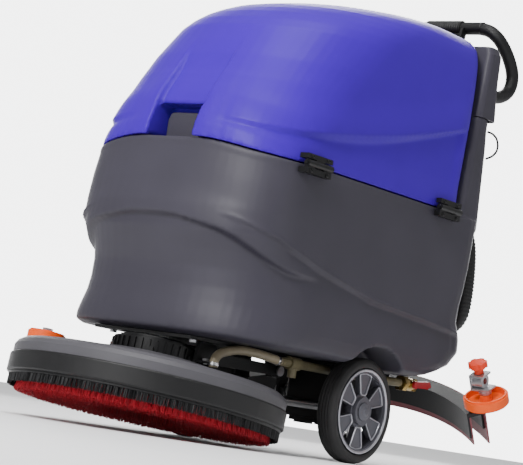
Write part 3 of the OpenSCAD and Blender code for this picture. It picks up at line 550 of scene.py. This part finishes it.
def cup(centre, axis, inner, outer, depth, floor):
    """Closed cup whose rim points along axis, used to close an opening from within."""
    centre_r = 0.0005
    profile = [(centre_r, 0.0), (inner, 0.0), (inner, depth), (outer, depth), (outer, -floor),
               (centre_r, -floor)]
    verts, faces = lathe(profile, 64)
    turn = Vector((0, 0, 1)).rotation_difference(Vector(axis)).to_matrix()
    return [turn @ v + Vector(centre) for v in verts], faces


def add_tanks():
    """The blue upper tank and the grey lower tank."""
    shell("blue_recovery_hood", "recovery_tank", "blue",
          [cup((0, 0.285, 0.890), (0, 0, 1), 0.064, 0.070, 0.052, 0.006)], style_hood, "recovery_tank")
    shell("grey_solution_base", "solution_tank", "grey",
          [cup((-0.12, 0.440, 0.690), (0, 1, 0), 0.026, 0.031, 0.016, 0.006)], style_base, "machine")



# ---------- wheels ----------

def part_box(node):
    """Low and high corners of a CAD node."""
    low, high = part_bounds(node)
    return Vector(low), Vector(high)


def along_x(verts, centre, sign=1):
    """Turns a lathed form's axis to X, towards the machine's left or right."""
    return [Vector((sign * v.z, v.x, v.y)) + centre for v in verts]


def add_wheel(side, sign):
    """Tyre with a grooved tread, and the rim's bright lip and hub cap."""
    low, high = part_box(side + "_tyre")
    centre, reach, half = (low + high) / 2, (high.z - low.z) / 2, (high.x - low.x) / 2
    rim_low, rim_high = part_box(side + "_rim")
    rim = (rim_high.z - rim_low.z) / 2
    bead = rim + 1.5 * MM
    groove = 1.3 * MM
    outline = [(bead, -half + 3 * MM), (bead + 5 * MM, -half + 0.4 * MM), (reach - 9 * MM, -half + 0.6 * MM),
               (reach - 2.5 * MM, -half + 5 * MM), (reach - 0.4 * MM, -half + 11 * MM)]
    for k in (-1, 0, 1):
        outline += [(reach, k * 7 * MM - 1.6 * MM), (reach - groove, k * 7 * MM - 0.9 * MM),
                    (reach - groove, k * 7 * MM + 0.9 * MM), (reach, k * 7 * MM + 1.6 * MM)]
    outline += [(r, -z) for r, z in reversed(outline[:5])]
    verts, faces = lathe(rounded(outline, 2.2 * MM, 3), 120)
    tyre = piece(side + "_grooved_tyre", along_x(verts, centre), faces, "tyre", side + "_wheel")
    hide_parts(side + "_tyre")
    face_x = sign * 21 * MM
    lip = rounded([(rim - 5 * MM, 0.0), (rim + 0.4 * MM, 0.0), (rim + 0.4 * MM, 2.2 * MM),
                   (rim - 2 * MM, 3.0 * MM), (rim - 5 * MM, 1.2 * MM)], 1.0 * MM, 3)
    verts, faces = lathe(lip, 96)
    ring = piece(side + "_rim_lip", along_x(verts, centre + Vector((face_x - sign * 1.2 * MM, 0, 0)), sign),
                 faces, "bright", side + "_wheel")
    cap = rounded([(0.3 * MM, 0.0), (19 * MM, 0.0), (19 * MM, 2.5 * MM), (15 * MM, 5.5 * MM),
                   (9 * MM, 6.0 * MM), (7 * MM, 7.5 * MM), (0.3 * MM, 8 * MM)], 1.2 * MM, 3)
    verts, faces = lathe(cap, 48)
    hub = piece(side + "_hub_cap", along_x(verts, centre + Vector((sign * 22.2 * MM, 0, 0)), sign), faces,
                "silver", side + "_wheel")
    add_spoke_edges(side, sign, centre, rim)


def add_spoke_edges(side, sign, centre, rim):
    """Raised bright edges round the six openings between the spokes."""
    verts, faces = [], []
    outline = [(34, -8), (rim / MM - 13, -20), (rim / MM - 10, 0), (rim / MM - 13, 20), (34, 8)]
    for i in range(6):
        a = math.radians(60 * i + 30)
        loop = rounded([(x * MM, y * MM) for x, y in outline], 4 * MM, 4)
        n = len(loop)
        middle = Vector((sum(p[0] for p in loop) / n, sum(p[1] for p in loop) / n))
        base = len(verts)
        for scale, height in ((1.0, 14.0), (1.0, 16.4), (1.07, 17.2), (1.14, 16.2), (1.14, 14.0)):
            for p in loop:
                q = middle + (Vector(p) - middle) * scale
                u = math.cos(a) * q.x - math.sin(a) * q.y
                v = math.sin(a) * q.x + math.cos(a) * q.y
                verts.append(Vector((sign * height * MM, u, v)) + centre)
        for k in range(4):
            for j in range(n):
                b = base + k * n
                faces.append((b + j, b + (j + 1) % n, b + n + (j + 1) % n, b + n + j))
    edges = piece(side + "_spoke_edges", verts, faces, "bright", side + "_wheel")


# ---------- brush, skirt and deck ----------

DECK = Matrix.Translation((0, -0.280, 0.028)) @ Matrix.Rotation(math.radians(-6), 4, "X")


def strands(points, tips, width, sides=4):
    """Thin tapered bristles from points to tips."""
    verts, faces = [], []
    for a, b in zip(points, tips):
        spin = rng.uniform(0, math.pi)
        base = len(verts)
        bent = (a + b) / 2 + Vector((rng.uniform(-1, 1), rng.uniform(-1, 1), 0)) * width * 0.4
        for p, w in ((a, width), (bent, width * 0.95), (b, width * 0.7)):
            verts += [p + Vector((w * math.cos(spin + 2 * math.pi * k / sides),
                                  w * math.sin(spin + 2 * math.pi * k / sides), 0)) / 2 for k in range(sides)]
        for lap in (0, sides):
            faces += [(base + lap + k, base + lap + (k + 1) % sides,
                       base + lap + sides + (k + 1) % sides, base + lap + sides + k) for k in range(sides)]
        faces.append(tuple(base + 2 * sides + k for k in range(sides)))
    return verts, faces


def add_brush():
    """Rings of red tufts, each a handful of bristles leaning outwards a little."""
    points, tips = [], []
    for ring in range(13):
        r = 0.090 + 0.0124 * ring
        count = round(2 * math.pi * r / 0.0125)
        for i in range(count):
            a = 2 * math.pi * (i + 0.5 * (ring % 2)) / count
            root = Vector((r * math.cos(a), r * math.sin(a), 0.0385))
            lean = Vector((math.cos(a), math.sin(a), 0)) * (0.002 + 0.0035 * ring / 12)
            for _ in range(9 if ring > 9 else 5):
                jitter = Vector((rng.uniform(-1, 1), rng.uniform(-1, 1), 0)) * 0.0034
                points.append(root + jitter * 0.6)
                tips.append(root + lean + jitter * 1.25 + Vector((0, 0, -0.0385 + rng.uniform(0, 0.0022))))
    verts, faces = strands(points, tips, 2.1 * MM)
    tufts = piece("bristle_tufts", [DECK @ v for v in verts], faces, "bristle", "brush", smooth=False)
    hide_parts("brush_bristles")
    plate = rounded([(0.074, 0.0352), (0.2475, 0.0352), (0.2475, 0.0378), (0.074, 0.0378)], 1.0 * MM, 2)
    verts, faces = lathe(plate, 96)
    bed = piece("bristle_bed", [DECK @ v for v in verts], faces, "bristle", "brush")


def add_skirt():
    """Strip brush round the deck: a holder rail and three rows of fine black bristles."""
    points, tips = [], []
    for row in range(3):
        count = 1280
        for i in range(count):
            a = 2 * math.pi * (i + row / 3) / count + rng.uniform(-1, 1) * 0.002
            out = Vector((math.cos(a), math.sin(a), 0))
            points.append(out * (0.2585 + 0.0022 * row) + Vector((0, 0, 0.030)))
            side = Vector((-math.sin(a), math.cos(a), 0)) * rng.uniform(-1, 1) * 0.0012
            tips.append(out * (0.2590 + 0.0024 * row) + side + Vector((0, 0, 0.009 + rng.uniform(0, 0.003))))
    verts, faces = strands(points, tips, 1.3 * MM, 3)
    skirt = piece("strip_brush_skirt", [DECK @ v for v in verts], faces, "strip", "deck", smooth=False)
    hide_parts("splash_skirt")
    rail = rounded([(0.2568, 0.0262), (0.2652, 0.0262), (0.2652, 0.0325), (0.2568, 0.0325)], 1.2 * MM, 3)
    verts, faces = lathe(rail, 128)
    holder = piece("skirt_rail", [DECK @ v for v in verts], faces, "black", "deck")


def add_motor_details():
    """Cooling ribs round the brush motor and a domed cap."""
    verts, faces = [], []
    ribs = 36
    for i in range(ribs):
        a = 2 * math.pi * i / ribs
        u, v = Vector((math.cos(a), math.sin(a), 0)), Vector((-math.sin(a), math.cos(a), 0))
        base = len(verts)
        for r, z in ((0.0845, 0.121), (0.0885, 0.122), (0.0885, 0.1395), (0.083, 0.1435)):
            verts += [u * r + v * w * 1.1 * MM + Vector((0, 0, z)) for w in (-1, 1)]
        faces += [(base, base + 1, base + 3, base + 2), (base + 2, base + 3, base + 5, base + 4),
                  (base + 4, base + 5, base + 7, base + 6), (base + 6, base + 7, base + 1, base),
                  (base, base + 2, base + 4, base + 6), (base + 1, base + 7, base + 5, base + 3)]
    fins = piece("motor_fins", [DECK @ v for v in verts], faces, "black", "deck", smooth=False)
    dome = rounded([(0.3 * MM, 0.1488), (0.071, 0.1488), (0.070, 0.1515), (0.055, 0.1545),
                    (0.3 * MM, 0.1555)], 1.5 * MM, 3)
    verts, faces = lathe(dome, 64)
    cap = piece("motor_cap", [DECK @ v for v in verts], faces, "powder", "deck")


# ---------- screws, handle and small things ----------

def add_screws(name, places, axis, radius, body, look="zinc"):
    """Domed socket screws at places, heads towards axis."""
    head = [(0.3, 0.25), (0.42, 0.6), (0.62, 0.62), (1.0, 0.3), (1.0, 0.0), (0.3, 0.0)]
    profile = rounded([(r * radius, z * radius) for r, z in head], 0.1 * radius, 2)
    turn = Vector((0, 0, 1)).rotation_difference(Vector(axis)).to_matrix()
    verts, faces = [], []
    for place in places:
        v, f = lathe(profile, 20)
        base = len(verts)
        verts += [turn @ p + Vector(place) for p in v]
        faces += [tuple(base + k for k in face) for face in f]
    return piece(name, verts, faces, look, body)


def add_hinge_screws():
    """Two screws in each half of the tank's hinges."""
    for node, body, z in (("hinge_bases", "machine", 0.5325), ("hinge_leaves", "recovery_tank", 0.5605)):
        places = [(0.2638, y + s, z) for y in (-0.192, 0.283) for s in (-0.026, 0.026)]
        screws = add_screws(node + "_screws", places, (1, 0, 0), 4.2 * MM, body, "black")


def add_handle():
    """The looped handle tube, with its two brackets for the start bar."""
    half = [(216, 436, 826), (216, 452, 826), (216, 472, 826), (216, 492, 831), (216, 512, 841),
            (216, 526, 856), (216, 531, 876), (215, 526, 897), (211, 513, 920), (204, 498, 942),
            (193, 486, 960), (176, 479, 973), (154, 478, 979), (132, 478, 980)]
    route = half + [(-x, y, z) for x, y, z in reversed(half)]
    verts, faces = tube(curve_points(route, 5), lambda i: 14 * MM, 24)
    handle = piece("looped_handle_tube", verts, faces, "powder", "machine")
    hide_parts("handle_tube")
    for name, sign in (("left", 1), ("right", -1)):
        plate = rounded([(0.450, 0.951), (0.470, 0.953), (0.474, 0.970), (0.470, 0.980), (0.456, 0.976)],
                        3 * MM, 3)
        n = len(plate)
        verts = [Vector((sign * x, y, z)) for x in (0.112, 0.118) for y, z in plate]
        faces = [tuple(range(n)), tuple(range(2 * n - 1, n - 1, -1))]
        faces += [(k, k + n, (k + 1) % n + n, (k + 1) % n) for k in range(n)]
        bracket = piece(name + "_bail_bracket", verts, faces, "powder", "machine", smooth=False)


def add_grips():
    """Ribbed rubber sleeves on the handle's cross bar."""
    tube_r, rib_r, valley_r = 14.1 * MM, 17.4 * MM, 16.2 * MM
    ribs = []
    for k in range(15):
        x = 15.5 * MM + 6 * MM * k
        ribs += [(rib_r, x), (rib_r, x + 3.6 * MM), (valley_r, x + 4.2 * MM), (valley_r, x + 5.4 * MM)]
    outline = [(tube_r, 0.014), (17.0 * MM, 0.014)] + ribs[:-2] + [(17.0 * MM, 0.104), (tube_r, 0.104)]
    for name, sign in (("left", 1), ("right", -1)):
        verts, faces = lathe(outline, 40)
        sleeve = piece(name + "_ribbed_grip", along_x(verts, Vector((0, 0.478, 0.980)), sign), faces,
                       "rubber", "machine")
        if name == "left":
            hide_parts("handle_grips")


def add_console_details():
    """Charge gauge window, two lamps and screws on the panel."""
    z = 0.924
    gauge_x, gauge_y, half_w, half_d = 0.131, 0.424, 0.0108, 0.0096
    loop = rounded([(-half_w, -half_d), (half_w, -half_d), (half_w, half_d), (-half_w, half_d)], 3 * MM, 4)
    n = len(loop)
    verts = [Vector((gauge_x + p[0] * s, gauge_y + p[1] * s, z + 0.002 + h))
             for s, h in ((1.0, 0.0), (1.0, 0.0016), (0.8, 0.0016), (0.78, 0.0008)) for p in loop]
    faces = [(k * n + j, k * n + (j + 1) % n, (k + 1) * n + (j + 1) % n, (k + 1) * n + j)
             for k in range(3) for j in range(n)] + [tuple(range(3 * n, 4 * n))]
    gauge = piece("charge_gauge_bezel", verts, faces, "black", "machine")
    places = [(x, y, z) for x in (-0.140, 0.108) for y in (0.408, 0.440)]
    add_screws("panel_screws", places, (0, 0, 1), 2.6 * MM, "machine")
    lamps = add_screws("panel_lamps", [(-0.045, 0.408, z), (0.005, 0.408, z)], (0, 0, 1), 3.2 * MM, "machine",
                       "green")


def prism(outline, levels):
    """Closed solid through insets of one outline, each level as (height, inset)."""
    n = len(outline)
    middle = Vector((sum(p[0] for p in outline) / n, sum(p[1] for p in outline) / n))
    verts = []
    for height, inset in levels:
        for p in outline:
            q = Vector(p) - middle
            verts.append(Vector((*(middle + q - q.normalized() * inset), height)))
    faces = [tuple(reversed(range(n))), tuple(range((len(levels) - 1) * n, len(levels) * n))]
    faces += [(k * n + j, k * n + (j + 1) % n, (k + 1) * n + (j + 1) % n, (k + 1) * n + j)
              for k in range(len(levels) - 1) for j in range(n)]
    return verts, faces


def add_control_box():
    """Motor controller under the chassis plate: a lidded box with a rib round it."""
    outline = rounded([(-0.118, 0.030), (-0.036, 0.030), (-0.036, 0.086), (-0.118, 0.086)], 7 * MM, 5)
    verts, faces = prism(outline, [(0.128, 4 * MM), (0.131, 1 * MM), (0.140, 0.0), (0.141, -1.6 * MM),
                                   (0.145, -1.6 * MM), (0.146, 0.0), (0.184, 0.0), (0.1878, 0.0)])
    box = piece("motor_controller", verts, faces, "black", "machine", smooth=False)
    screws = [(x, y, 0.128) for x in (-0.108, -0.046) for y in (0.040, 0.076)]
    add_screws("controller_screws", screws, (0, 0, -1), 3 * MM, "machine")


def add_hose_clamps():
    """Worm-drive clamps at the ends of the solution hose."""
    inner, outer, half = 8.6 * MM, 10.2 * MM, 3.5 * MM
    band = rounded([(inner, -half), (outer, -half), (outer, half), (inner, half)], 0.5 * MM, 2)
    for name, place, axis, body, slot in (
            ("rear", (0.140, -0.068, 0.1786), (0, 1, 0), "machine", "frame_bolts"),
            ("deck", (0.130, -0.2498, 0.149), (0, 0, 1), "deck", "deck_bolts")):
        turn = Vector((0, 0, 1)).rotation_difference(Vector(axis)).to_matrix()
        verts, faces = lathe(band, 32)
        clamp = piece(name + "_hose_clamp", [turn @ v + Vector(place) for v in verts], faces, "steel", body)


# ---------- build ----------

add_camera()
add_light()
add_suction_hose()
add_solution_hose()
add_console_wire()
dress_cad()
add_tanks()
for side_name, side_sign in (("left", 1), ("right", -1)):
    add_wheel(side_name, side_sign)
add_brush()
add_skirt()
add_motor_details()
add_hinge_screws()
add_handle()
add_grips()
add_console_details()
add_control_box()
add_hose_clamps()

floor = piece("floor", [(-40, -40, 0), (40, -40, 0), (40, 40, 0), (-40, 40, 0)], [(0, 1, 2, 3)], "floor")
